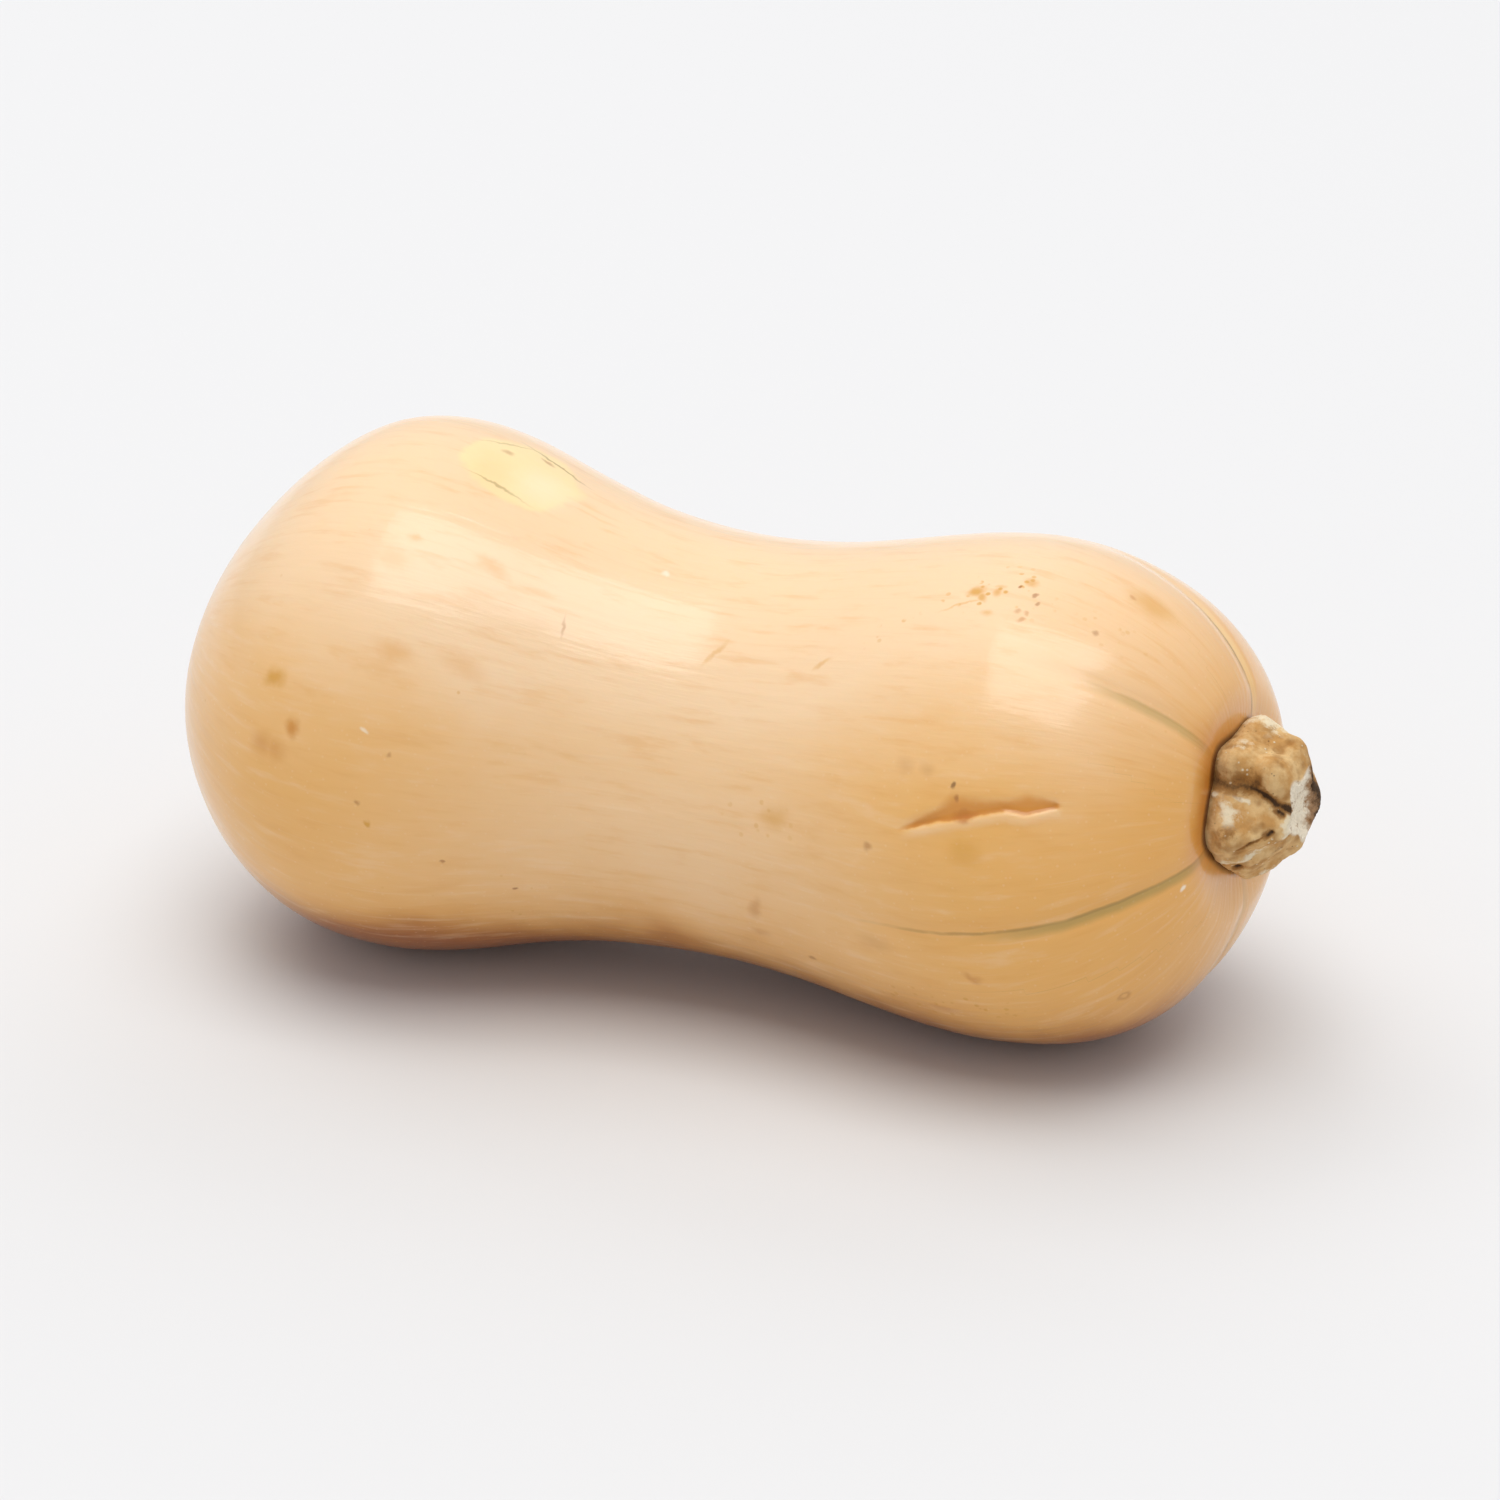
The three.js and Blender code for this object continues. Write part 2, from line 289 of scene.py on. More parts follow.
def core_frames(along):
    """Ring centres with the rings' directions: along the core, to the front and up."""
    along = np.asarray(along, float)
    forward = core_points(along + CORE_STEP) - core_points(along - CORE_STEP)
    forward /= np.linalg.norm(forward, axis=1, keepdims=True)
    front = np.cross(forward, (0, 0, 1))
    front /= np.linalg.norm(front, axis=1, keepdims=True)
    return core_points(along), forward, front, np.cross(front, forward)


def outline_stations(steps_per_row):
    """Distance along the core line and radius, at even steps of the outline's spline."""
    rows = np.array([(share * FRUIT_LENGTH, radius) for share, radius in OUTLINE])
    mirror = np.array([1, -1])
    spline = np.vstack([rows[1] * mirror, rows, rows[-2] * mirror])
    spans = len(spline) - 3
    return spline_points(spline, np.linspace(0, spans, spans * steps_per_row + 1))


def even_stations(count):
    """Stations at even distances over the skin, with that distance from the blossom end."""
    fine = outline_stations(FINE_STEPS_PER_ROW)
    arc = np.concatenate([[0], np.cumsum(np.hypot(*np.diff(fine, axis=0).T))])
    at = np.linspace(0, arc[-1], count)
    stations = np.column_stack([np.interp(at, arc, fine[:, k]) for k in range(2)])
    return stations, at


def hollow_shift(along, radius):
    seat = -SEAT_HOLLOW * (1 - smooth_step(SEAT_INNER_RADIUS, SEAT_OUTER_RADIUS, radius))
    pucker = BLOSSOM_HOLLOW * bell(radius, BLOSSOM_HOLLOW_RADIUS)
    pucker = pucker - BLOSSOM_BUTTON * bell(radius, BLOSSOM_BUTTON_RADIUS)
    return np.where(along > FRUIT_LENGTH / 2, seat, pucker)


def groove_across(groove, along, radius, angle):
    """Signed distance over the skin from a groove's line, in millimetres."""
    line = groove["angle"] + GROOVE_TWIST * (along - FRUIT_LENGTH)
    return np.radians(turn(angle, line)) * radius


def groove_cut(along, radius, angle):
    cut = 0
    for groove in GROOVES:
        fade = 1 - smooth_step(0, groove["reach"], FRUIT_LENGTH - along)
        across = groove_across(groove, along, radius, angle)
        shape = GROOVE_CREASE_SHARE * bell(across, GROOVE_CREASE_WIDTH)
        shape = shape + GROOVE_VALLEY_SHARE * bell(across, GROOVE_VALLEY_WIDTH)
        cut = cut + GROOVE_DEPTH * fade * smooth_step(0, SEAT_INNER_RADIUS, radius) * shape
    return cut


def skin_grid(stations, angles, relief=None):
    """Points of the fruit's skin: one row for each station, one column for each angle."""
    along, radius = stations[:, :1], stations[:, 1:]
    turned = angles[None] + GROOVE_TWIST * (along - FRUIT_LENGTH)
    centre, forward, front, up = [part[:, None] for part in core_frames(stations[:, 0])]
    reach = radius - groove_cut(along, radius, turned)
    if relief is not None:
        reach = reach + relief
    around = np.radians(turned)[..., None]
    ring = front * np.cos(around) + up * np.sin(around)
    points = centre + forward * hollow_shift(along, radius)[..., None] + ring * reach[..., None]
    points[..., 2] = np.maximum(points[..., 2], REST_LEVEL)
    return points, turned


def solid_angles():
    """The solids' own meridians, crowded towards the grooves."""
    angles = []
    for index, groove in enumerate(GROOVES):
        following = GROOVES[(index + 1) % len(GROOVES)]["angle"]
        width = (following - groove["angle"]) % 360
        share = np.arange(SOLID_MERIDIANS_PER_LOBE) / SOLID_MERIDIANS_PER_LOBE
        crowded = share - SOLID_CROWDING * np.sin(share * 2 * math.pi) / (2 * math.pi)
        angles.extend(groove["angle"] + width * crowded)
    return np.array(angles)


# Where the shapes' own zero lies in the frame: the solid fruit, worked out again, has to
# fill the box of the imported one.
solid_skin, _ = skin_grid(outline_stations(SOLID_STEPS_PER_ROW), solid_angles())
box_low, box_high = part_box("fruit")
SHIFT = np.array(box_low) / MM - solid_skin.reshape(-1, 3).min(0)
BOX_ERROR = np.abs(SHIFT + solid_skin.reshape(-1, 3).max(0) - np.array(box_high) / MM).max()
assert BOX_ERROR < BOX_TOLERANCE, f"the skin is {BOX_ERROR:.3f} mm off the solid fruit's box"


def to_frame(points):
    return (points + SHIFT) * MM


def skin_angles():
    """Meridians of the visible skin, closer together at the grooves and at the slit scar."""
    fine = np.linspace(0, 360, FINE_ANGLES)
    density = np.ones_like(fine)
    for groove in GROOVES:
        density += MORE_AT_GROOVE[0] * bell(turn(fine, groove["angle"]), MORE_AT_GROOVE[1])
    density += MORE_AT_SLIT[0] * bell(turn(fine, SLIT_PEAK_ANGLE), MORE_AT_SLIT[1])
    total = np.concatenate([[0], np.cumsum((density[1:] + density[:-1]) / 2)])
    return np.interp(np.arange(SKIN_MERIDIANS) * total[-1] / SKIN_MERIDIANS, total, fine)


def uneven(points, height, size, offset=0.0):
    """Smooth noise up to about that height, up and down, whose lumps are about size across."""
    flat = points.reshape(-1, 3) / size + offset
    values = [noise.noise(Vector(point)) for point in flat]
    return height * np.array(values).reshape(points.shape[:-1])


def straight_place(x, angle):
    """Place on the straightened fruit, where x runs along the skin from the blossom end."""
    y = STRAIGHT_RADIUS * np.cos(np.radians(angle))
    z = STRAIGHT_RADIUS * np.sin(np.radians(angle))
    return np.stack(np.broadcast_arrays(x, y, z), -1)


def to_straight(along, angle):
    """The same for a distance along the core line."""
    return straight_place(np.interp(along, ARC_STATIONS[:, 0], ARC), angle)


def near_path(points, path, values=None):
    """Distance of each point from an open path, and the value given for the nearest place."""
    nearest = np.full(points.shape[:-1], np.inf)
    value = np.zeros(points.shape[:-1])
    values = np.zeros(len(path)) if values is None else values
    for k, (start, end) in enumerate(zip(path[:-1], path[1:])):
        run = end - start
        t = np.clip(((points - start) @ run) / max(run @ run, 1e-9), 0, 1)
        away = np.linalg.norm(points - start - t[..., None] * run, axis=-1)
        closer = away < nearest
        nearest = np.where(closer, away, nearest)
        value = np.where(closer, values[k] + t * (values[k + 1] - values[k]), value)
    return nearest, value


def slit_place(along, angle):
    """Distance above (or, less than 0, below) the slit's lower edge, and its width there."""
    edge_along, edge_angle, width = np.array(SLIT).T
    straight = to_straight(along, angle)
    away, width = near_path(straight, to_straight(edge_along, edge_angle), width)
    above = turn(angle, np.interp(along, edge_along, edge_angle)) > 0
    return np.where(above, away, -away), width


def stem_radius(height, outline_radius, angle):
    radius = outline_radius - STEM_VALLEY_DEPTH
    for groove in GROOVES:
        ridge = bell(turn(angle, groove["angle"]), STEM_RIDGE_WIDTH)
        radius = radius + (STEM_RIDGE_HEIGHT + STEM_VALLEY_DEPTH) * ridge
    for knob_angle, knob_height, out, around, upward in STEM_KNOBS:
        knob = bell(turn(angle, knob_angle), around) * bell(height - knob_height, upward)
        radius = radius + out * knob
    return radius


def stem_seat():
    centre, forward, front, up = [part[0] for part in core_frames([FRUIT_LENGTH])]
    centre = centre + forward * hollow_shift(FRUIT_LENGTH, 0) + up * STEM_OFFSET
    return centre, forward, front, up


def stem_places(height, radius, angle):
    centre, forward, front, up = stem_seat()
    turned = np.radians(angle)
    return (centre + forward * height[..., None] + front * (radius * np.cos(turned))[..., None]
            + up * (radius * np.sin(turned))[..., None])


def stem_surround(points):
    """Distance of points on the skin from the foot of the stem, which the rind hugs closer away
    from the front, and how warm the rind is there."""
    centre, forward, front, up = stem_seat()
    offset = points - centre
    angle = np.degrees(np.arctan2(offset @ up, offset @ front))
    foot = stem_radius(np.zeros(angle.shape), STEM_BASE_RADIUS, angle)
    gap = np.hypot(offset @ up, offset @ front) - foot
    gap = np.where(offset @ forward > -FRUIT_LENGTH / 4, gap, 2 * STEM_BASE_RADIUS)
    warmth = smooth_step(WARM_REACH, 0, gap) * bell(turn(angle, WARM_SIDE[0]), WARM_SIDE[1])
    gaping = bell(turn(angle, GAPING_SIDE[0]), GAPING_SIDE[1])
    return gap + CLOSER * (1 - gaping), warmth


ARC_STATIONS, ARC = even_stations(SKIN_RINGS + 2)


def skin_relief(along, radius, angle, points):
    """Low unevenness of the rind, the sharper floor of the grooves and the healed slit."""
    relief = uneven(points, *RIND_WAVES) + uneven(points, *RIND_RIPPLES)
    relief *= smooth_step(*UNEVEN_START, radius)
    for groove in GROOVES:
        strength, reach = groove["line"]
        fade = strength * (1 - smooth_step(0, reach, FRUIT_LENGTH - along))
        across = groove_across(groove, along, radius, angle)
        crease = CREASE_DEPTH * fade * bell(across, CREASE_WIDTH)
        relief = relief - crease * smooth_step(*CREASE_START, radius)
    above, width = slit_place(along, angle)
    opening = smooth_step(*SLIT_OPENS, width)
    sunk = smooth_step(-SLIT_EDGE, SLIT_EDGE, above)
    sunk = sunk * (1 - smooth_step(SLIT_EDGE, width + SLIT_RAMP, above))
    relief = relief - SLIT_DEPTH * opening * sunk
    relief = relief + SLIT_LIP * opening * bell(above + SLIT_LIP_WIDTH, SLIT_LIP_WIDTH)
    return relief - STEM_CREVICE * bell(stem_surround(points)[0], STEM_CREVICE_WIDTH)


def closed_mesh(name, first, grid, last):
    """Closed mesh through a grid of rings, with a single point before and after them."""
    rings, columns = grid.shape[:2]
    points = np.vstack([[first], grid.reshape(-1, 3), [last]])
    index = 1 + np.arange(rings * columns).reshape(rings, columns)
    after = np.roll(index, -1, axis=1)
    quads = np.stack([index[:-1], index[1:], after[1:], after[:-1]], -1).reshape(-1, 4)
    faces = quads.tolist()
    faces += [(0, int(a), int(b)) for a, b in zip(index[0], after[0])]
    faces += [(len(points) - 1, int(b), int(a)) for a, b in zip(index[-1], after[-1])]
    mesh = bpy.data.meshes.new(name)
    mesh.from_pydata(to_frame(points).tolist(), [], faces)
    mesh.shade_smooth()
    mesh.validate()
    piece = bpy.data.objects.new(name, mesh)
    bpy.context.scene.collection.objects.link(piece)
    return piece


def add_attribute(piece, name, first, grid, last):
    """Stores one value or vector for each point of a mesh made by closed_mesh."""
    values = np.concatenate([np.ravel(first), np.ravel(grid), np.ravel(last)]).astype(np.float32)
    kind, key = ("FLOAT_VECTOR", "vector") if np.ndim(first) else ("FLOAT", "value")
    piece.data.attributes.new(name, kind, "POINT").data.foreach_set(key, values)


def make_fruit():
    stations = ARC_STATIONS
    angles = skin_angles()
    plain, turned = skin_grid(stations, angles)
    along = np.broadcast_to(stations[:, :1], turned.shape)
    radius = np.broadcast_to(stations[:, 1:], turned.shape)
    relief = skin_relief(along, radius, turned, plain)
    points, _ = skin_grid(stations, angles, relief)
    points[[0, -1]] = plain[[0, -1]]
    piece = closed_mesh("squash_skin", points[0, 0], points[1:-1], points[-1, 0])

    straight = straight_place(ARC[:, None], turned)
    add_attribute(piece, "straight", (0, 0, 0), straight[1:-1], (ARC[-1], 0, 0))

    across = np.full(turned.shape, FAR)
    tones = np.zeros((*turned.shape, 3))
    for groove in GROOVES:
        away = groove_across(groove, along, radius, turned)
        nearer = np.abs(away) < np.abs(across)
        across = np.where(nearer, away, across)
        for k, part in enumerate(("line", "band", "pale")):
            strength, reach = groove[part]
            fade = 1 - smooth_step(TONE_FADE, 1, (FRUIT_LENGTH - along) / reach)
            fade = strength * fade
            tones[..., k] = np.where(nearer, fade, tones[..., k])
    add_attribute(piece, "groove_across", FAR, np.clip(across, -FAR, FAR)[1:-1], FAR)
    add_attribute(piece, "groove_tone", (0, 0, 0), tones[1:-1], (0, 0, 0))

    above, width = slit_place(along, turned)
    add_attribute(piece, "slit_above", FAR, np.clip(above, -FAR, FAR)[1:-1], FAR)
    add_attribute(piece, "slit_width", 0, width[1:-1], 0)
    gap, warmth = stem_surround(plain)
    gap = np.clip(gap, -FAR, 2 * FAR)
    add_attribute(piece, "stem_gap", 2 * FAR, gap[1:-1], -FAR)
    add_attribute(piece, "stem_warmth", 0, warmth[1:-1], 0)
    return piece


def stem_strokes(points, angles, rim):
    """How far each point of the stem is raised by the strokes, how dark and how pale it is. Where a
    stroke sinks in, its darkness is painted shade.
    """
    raised, dark, pale = np.zeros((3, *points.shape[:-1]))
    outline = np.array(STEM_OUTLINE)
    for path, width, out, darkness, paleness in STEM_STROKES:
        turned, height = np.array(path, float).T
        radius = stem_radius(height, np.interp(height, outline[:, 0], outline[:, 1]), turned)
        at_rim = np.interp(turned % 360, angles, rim, period=360)
        radius = np.where(height > STEM_HEIGHT - RIM_MARGIN, np.minimum(radius, at_rim), radius)
        away, _ = near_path(points, stem_places(height, radius, turned))
        stroke = bell(away, width)
        raised += out * stroke
        dark = np.maximum(dark, darkness * stroke)
        pale = np.maximum(pale, paleness * stroke)
    return raised, dark, pale


def make_stem():
    """The stump: ridged and knobbly round its side, with a torn, hollowed cut."""
    rows = np.array(STEM_OUTLINE)
    spline = np.vstack([2 * rows[0] - rows[1], rows, 2 * rows[-1] - rows[-2]])
    side_rings = int(STEM_RINGS * STEM_SIDE_SHARE)
    side = spline_points(spline, np.linspace(0, len(spline) - 3, side_rings))
    share = np.linspace(0, 1, STEM_RINGS - side_rings + 1)[1:]
    cut = np.column_stack([
        STEM_HEIGHT - CUT_HOLLOW * smooth_step(*CUT_SLOPE, share),
        STEM_CUT_RADIUS * (1 - share),
    ])
    stations = np.vstack([side, cut])[:-1]
    angles = np.arange(STEM_MERIDIANS) * 360 / STEM_MERIDIANS
    height = np.broadcast_to(stations[:, :1], (len(stations), len(angles))).copy()
    angle = np.broadcast_to(angles, height.shape)
    radius = stem_radius(height, stations[:, 1:], angle)
    ring = np.arange(len(stations))[:, None]
    on_cut = smooth_step(side_rings - RIM_RINGS[0], side_rings + RIM_RINGS[1], ring)
    inward = np.concatenate([np.ones(side_rings), 1 - share[:-1]])[:, None]
    rim = radius[side_rings - 1]
    radius = np.where(ring < side_rings, radius, rim[None] * inward)

    plain = stem_places(height, radius, angle)
    lumps = uneven(plain, *CORK_LUMPS) + uneven(plain, *CORK_KNOTS)
    grains = uneven(plain, *CORK_GRAINS)
    raised, dark, pale = stem_strokes(plain, angles, rim)
    base = smooth_step(-STEM_ROOT, CORK_START, height)
    radius = radius + (lumps + grains) * base * (1 - CUT_CALM * on_cut) + raised * (1 - on_cut)
    height = height + on_cut * (CUT_LUMPS * lumps + CUT_GRAINS * grains + CUT_STROKES * raised)
    points = stem_places(height, radius, angle)
    centre, forward, _, _ = stem_seat()
    piece = closed_mesh("squash_stem", centre - forward * STEM_ROOT, points,
                        centre + forward * (STEM_HEIGHT - CUT_HOLLOW))

    add_attribute(piece, "cut", 0, np.broadcast_to(on_cut, height.shape), 1)
    add_attribute(piece, "lumps", 0, lumps, 0)
    add_attribute(piece, "pale", 0, pale, 0)
    add_attribute(piece, "dark", 0, dark, 0)
    return piece


def tone(red, green, blue):
    """Colour from 0 to 255 as the picture shows it, as the shader's linear colour."""
    parts = [part / 255 for part in (red, green, blue)]
    linear = [part / 12.92 if part < 0.04045 else ((part + 0.055) / 1.055) ** 2.4 for part in parts]
    return (*linear, 1)


class Shader:
    """One procedural material and the nodes that it is built from."""

    def __init__(self, name):
        self.material = bpy.data.materials.new(name)
        self.material.use_nodes = True
        self.tree = self.material.node_tree
        self.surface = self.tree.nodes["Principled BSDF"]

    def put(self, socket, value):
        if isinstance(value, bpy.types.NodeSocket):
            self.tree.links.new(value, socket)
        else:
            socket.default_value = value

    def give(self, name, value):
        """Sets one of the surface's own sockets."""
        self.put(self.surface.inputs[name], value)

    def node(self, kind, inputs=(), **settings):
        made = self.tree.nodes.new(kind)
        for name, value in settings.items():
            setattr(made, name, value)
        for name, value in dict(inputs).items():
            self.put(made.inputs[name], value)
        return made

    def attribute(self, name, output="Fac"):
        return self.node("ShaderNodeAttribute", attribute_name=name).outputs[output]

    def place(self):
        return self.node("ShaderNodeTexCoord").outputs["Object"]

    def stretched(self, vector, scale):
        return self.node("ShaderNodeMapping", {"Vector": vector, "Scale": scale}).outputs[0]

    def noise(self, vector, scale, detail=2.0, roughness=0.5, distortion=0.0):
        inputs = {"Vector": vector, "Scale": scale, "Detail": detail, "Roughness": roughness,
                  "Distortion": distortion}
        return self.node("ShaderNodeTexNoise", inputs).outputs["Fac"]

    def wandering(self, vector, place, scale, reach):
        """The vector, moved about by noise of the given scale by up to half of reach."""
        drift = self.node("ShaderNodeTexNoise", {"Vector": place, "Scale": scale, "Detail": 3.0})
        inputs = {0: drift.outputs["Color"], 1: (0.5, 0.5, 0.5)}
        drift = self.node("ShaderNodeVectorMath", inputs, operation="SUBTRACT").outputs[0]
        inputs = {0: drift, "Scale": reach}
        drift = self.node("ShaderNodeVectorMath", inputs, operation="SCALE").outputs[0]
        return self.node("ShaderNodeVectorMath", {0: vector, 1: drift}, operation="ADD").outputs[0]

    def cells(self, vector, scale):
        inputs = {"Vector": vector, "Scale": scale, "Randomness": 1.0}
        return self.node("ShaderNodeTexVoronoi", inputs).outputs["Distance"]

    def math(self, operation, first, second=0.0, clamp=False):
        made = self.node("ShaderNodeMath", operation=operation, use_clamp=clamp)
        self.put(made.inputs[0], first)
        self.put(made.inputs[1], second)
        return made.outputs[0]

    def times(self, first, second):
        return self.math("MULTIPLY", first, second)

    def plus(self, first, second, clamp=False):
        return self.math("ADD", first, second, clamp)

    def parts(self, vector):
        return self.node("ShaderNodeSeparateXYZ", {"Vector": vector}).outputs

    def band(self, value, low, high, to_low=0.0, to_high=1.0):
        """Goes smoothly from to_low at value low to to_high at value high."""
        inputs = {"Value": value, "From Min": low, "From Max": high,
                  "To Min": to_low, "To Max": to_high}
        return self.node("ShaderNodeMapRange", inputs, interpolation_type="SMOOTHSTEP").outputs[0]

    def strip(self, value, rise, fall):
        """Mask that rises over one range of the value and falls over another."""
        return self.times(self.band(value, *rise), self.band(value, *fall))

    def dots(self, vector, place, dots, patches):
        """Mask of small dots, one in each cell, that show only in patches of noise."""
        (dot_scale, *dot_range), (patch_scale, *patch_range) = dots, patches
        mask = self.band(self.cells(vector, dot_scale), *dot_range)
        return self.times(mask, self.band(self.noise(place, patch_scale), *patch_range))

    def mix(self, factor, first, second):
        # of the node's sockets, 0 is the factor, 6 and 7 are the colours
        made = self.node("ShaderNodeMix", data_type="RGBA")
        self.put(made.inputs[0], factor)
        self.put(made.inputs[6], first)
        self.put(made.inputs[7], second)
        return made.outputs[2]

    def bump(self, height, distance, strength, normal=None):
        inputs = {"Height": height, "Distance": distance, "Strength": strength}
        made = self.node("ShaderNodeBump", inputs)
        if normal is not None:
            self.put(made.inputs["Normal"], normal)
        return made.outputs[0]

    def mark(self, place, along, angle, length, width, heading, softness):
        """Mask of an oval mark on the straightened fruit, with its sizes in millimetres."""
        spread = STRAIGHT_RADIUS / np.interp(along, ARC_STATIONS[:, 0], ARC_STATIONS[:, 1])
        about = Matrix.Rotation(math.radians(angle), 3, "X")
        about = about @ Matrix.Rotation(math.radians(-heading), 3, "Y")
        tilt = abs(math.sin(math.radians(heading)))
        scale = (2 * length * (1 + (spread - 1) * tilt), 2 * MARK_REACH,
                 2 * width * (spread + (1 - spread) * tilt))
        inputs = {"Vector": place, "Location": Vector(to_straight(along, angle)),
                  "Rotation": about.to_euler("XYZ"), "Scale": scale}
        near = self.node("ShaderNodeMapping", inputs, vector_type="TEXTURE").outputs[0]
        inside = self.node("ShaderNodeTexGradient", {"Vector": near}, gradient_type="SPHERICAL")
        return self.band(inside.outputs["Fac"], 0.5 - softness / 2, 0.5 + softness / 2)


# Colours of the rind and of what marks it
PALE_SKIN = tone(246, 211, 169)
SKIN = tone(236, 179, 97)
# The next two colours are painted shade: the deeper orange towards the ground and the brown of the
# underside.
LOW_SHADE_SKIN = tone(204, 132, 28)
UNDER_SHADE_SKIN = tone(160, 84, 16)
DEEP_SKIN = tone(222, 155, 62)
WARM_SKIN = tone(200, 120, 34)
OCHRE = tone(214, 152, 42)
GOLD = tone(206, 132, 26)
RUST = tone(188, 110, 32)
SLIT_SKIN = tone(216, 142, 44)
BROWN = tone(156, 88, 30)
DARK_BROWN = tone(88, 46, 16)
GREY_GREEN = tone(160, 140, 72)
OLIVE = tone(132, 104, 40)
PALE_YELLOW = tone(248, 222, 166)
WHITISH = tone(250, 236, 214)

# Marks of the rind: distance along, angle, half length, half width, heading (degrees from the
# long axis towards larger angles), softness of the edge, colour and strength
MARKS = [
    # ochre spots on the bulb
    (30.5, 21, 2.2, 1.6, 20, 0.8, OCHRE, 0.75),
    (36.2, 11.8, 1.4, 1.4, 0, 0.9, GOLD, 0.8),
    (30, 5.5, 2.4, 2.2, 15, 0.9, GOLD, 0.5),
    (33, 5.5, 2.2, 2, 30, 0.9, GOLD, 0.45),
    # small dots on the bulb and the waist
    (50.5, -1, 0.5, 0.4, 0, 0.7, BROWN, 0.5),
    (53, -5.5, 0.8, 0.5, -40, 0.6, OCHRE, 0.8),
    (55.6, 10.5, 0.5, 0.4, 0, 0.7, BROWN, 0.4),
    (66.5, -14, 0.5, 0.4, 0, 0.6, BROWN, 0.6),
    (80, -24, 0.5, 0.4, 0, 0.6, BROWN, 0.7),
    (50.5, 14.5, 0.9, 0.4, -20, 0.7, WHITISH, 0.6),
    (83, 47, 0.3, 1.8, 8, 0.8, BROWN, 0.4),
    (99, 71, 0.9, 0.6, 0, 0.7, WHITISH, 0.7),
    # soft deeper clouds on the bulb
    (47.7, 51, 3.2, 1.8, -12, 0.9, DEEP_SKIN, 0.25),
    (53.1, 32, 3.4, 1.6, -8, 0.9, DEEP_SKIN, 0.4),
    (66.5, 32, 4, 1.8, -12, 0.9, DEEP_SKIN, 0.3),
    (66.5, 56, 3.2, 1.2, -14, 0.9, DEEP_SKIN, 0.35),
    (50.4, 57, 1.4, 0.9, 0, 0.9, OCHRE, 0.35),
    # ochre scratches on the waist
    (115.5, 49.5, 2.6, 0.5, 62, 0.8, OCHRE, 0.4),
    (141, 49, 1.6, 0.5, 30, 0.8, OCHRE, 0.4),
    # blemishes on the neck
    (130.5, -18, 1.2, 2.2, -20, 0.8, RUST, 0.4),
    (135.5, 10, 3, 1.8, 15, 0.9, OCHRE, 0.45),
    (159.5, 8, 0.9, 0.8, 0, 0.7, BROWN, 0.45),
    (167, 27, 1.8, 1.4, 0, 0.9, BROWN, 0.16),
    (172.5, 27, 1.6, 1.2, 0, 0.9, BROWN, 0.18),
    (182, 9.5, 3.2, 2.4, 0, 0.9, OCHRE, 0.4),
    (172, 71.5, 1.9, 1.3, 10, 0.7, OCHRE, 0.8),
    (174, 70, 1.3, 0.8, -30, 0.7, OCHRE, 0.7),
    (177.2, 71.6, 0.8, 0.9, 0, 0.8, OCHRE, 0.55),
    (177.4, 73.6, 1.2, 0.6, 15, 0.8, OCHRE, 0.4),
    (177.2, 65, 1.3, 0.9, 0, 0.9, OCHRE, 0.45),
    (184.1, 77, 1.6, 0.9, -10, 0.9, OCHRE, 0.55),
    (181.9, 75, 0.45, 0.45, 0, 0.6, BROWN, 0.7),
    (186.4, 73, 0.6, 0.45, 20, 0.6, BROWN, 0.6),
    (188, 70.4, 0.6, 0.45, 20, 0.6, BROWN, 0.55),
    (184.1, 67, 0.8, 0.5, 0, 0.7, RUST, 0.4),
    (186.4, 67, 0.7, 0.5, -20, 0.7, RUST, 0.4),
    (186, 65, 1, 0.4, 20, 0.7, RUST, 0.45),
    (200.3, 68, 0.5, 0.5, 0, 0.6, BROWN, 0.45),
    (170, 67, 4.2, 0.25, 22, 0.8, OCHRE, 0.4),
    (205, 89, 4.2, 2.8, 0, 0.9, OCHRE, 0.55),
    (202, 87, 0.6, 0.5, 0, 0.7, RUST, 0.4),
    (203.5, -44, 1.4, 1.2, 0, 0.5, BROWN, 0.4),
    (203.5, -44, 0.8, 0.7, 0, 0.5, SKIN, 0.7),
    (159.5, -17, 3.4, 1.8, 0, 0.9, BROWN, 0.16),
    (180, -23, 1.6, 0.8, -25, 0.8, RUST, 0.4),
    (131, -27, 1.8, 1, 0, 0.9, RUST, 0.3),
    (142.5, -31, 0.8, 0.5, 0, 0.7, BROWN, 0.5),
    (171, -36, 2.6, 1, 0, 0.9, RUST, 0.35),
    (216.5, -18, 0.7, 0.5, 0, 0.6, WHITISH, 0.8),
    # round the slit: the dark dot above its peak, and its deepest corner
    (179.5, 24, 0.7, 0.6, 60, 0.5, DARK_BROWN, 0.65),
    (180.3, 21.3, 0.5, 0.7, 0, 0.7, BROWN, 0.6),
    (182, 17.6, 2.4, 0.9, 8, 0.8, RUST, 0.75),
    # the back and the underside, which the picture hides
    (60, 160, 2.4, 1.6, 20, 0.8, OCHRE, 0.6),
    (118, 205, 1.4, 1, 0, 0.7, BROWN, 0.5),
    (150, 172, 4.5, 0.5, 25, 0.8, OCHRE, 0.5),
    (185, 150, 2.2, 1.6, 0, 0.9, OCHRE, 0.5),
    (35, 215, 1.2, 1, 0, 0.7, BROWN, 0.5),
    (70, 250, 3, 2, -20, 0.9, OCHRE, 0.4),
    (190, 225, 1, 0.8, 0, 0.6, BROWN, 0.6),
]

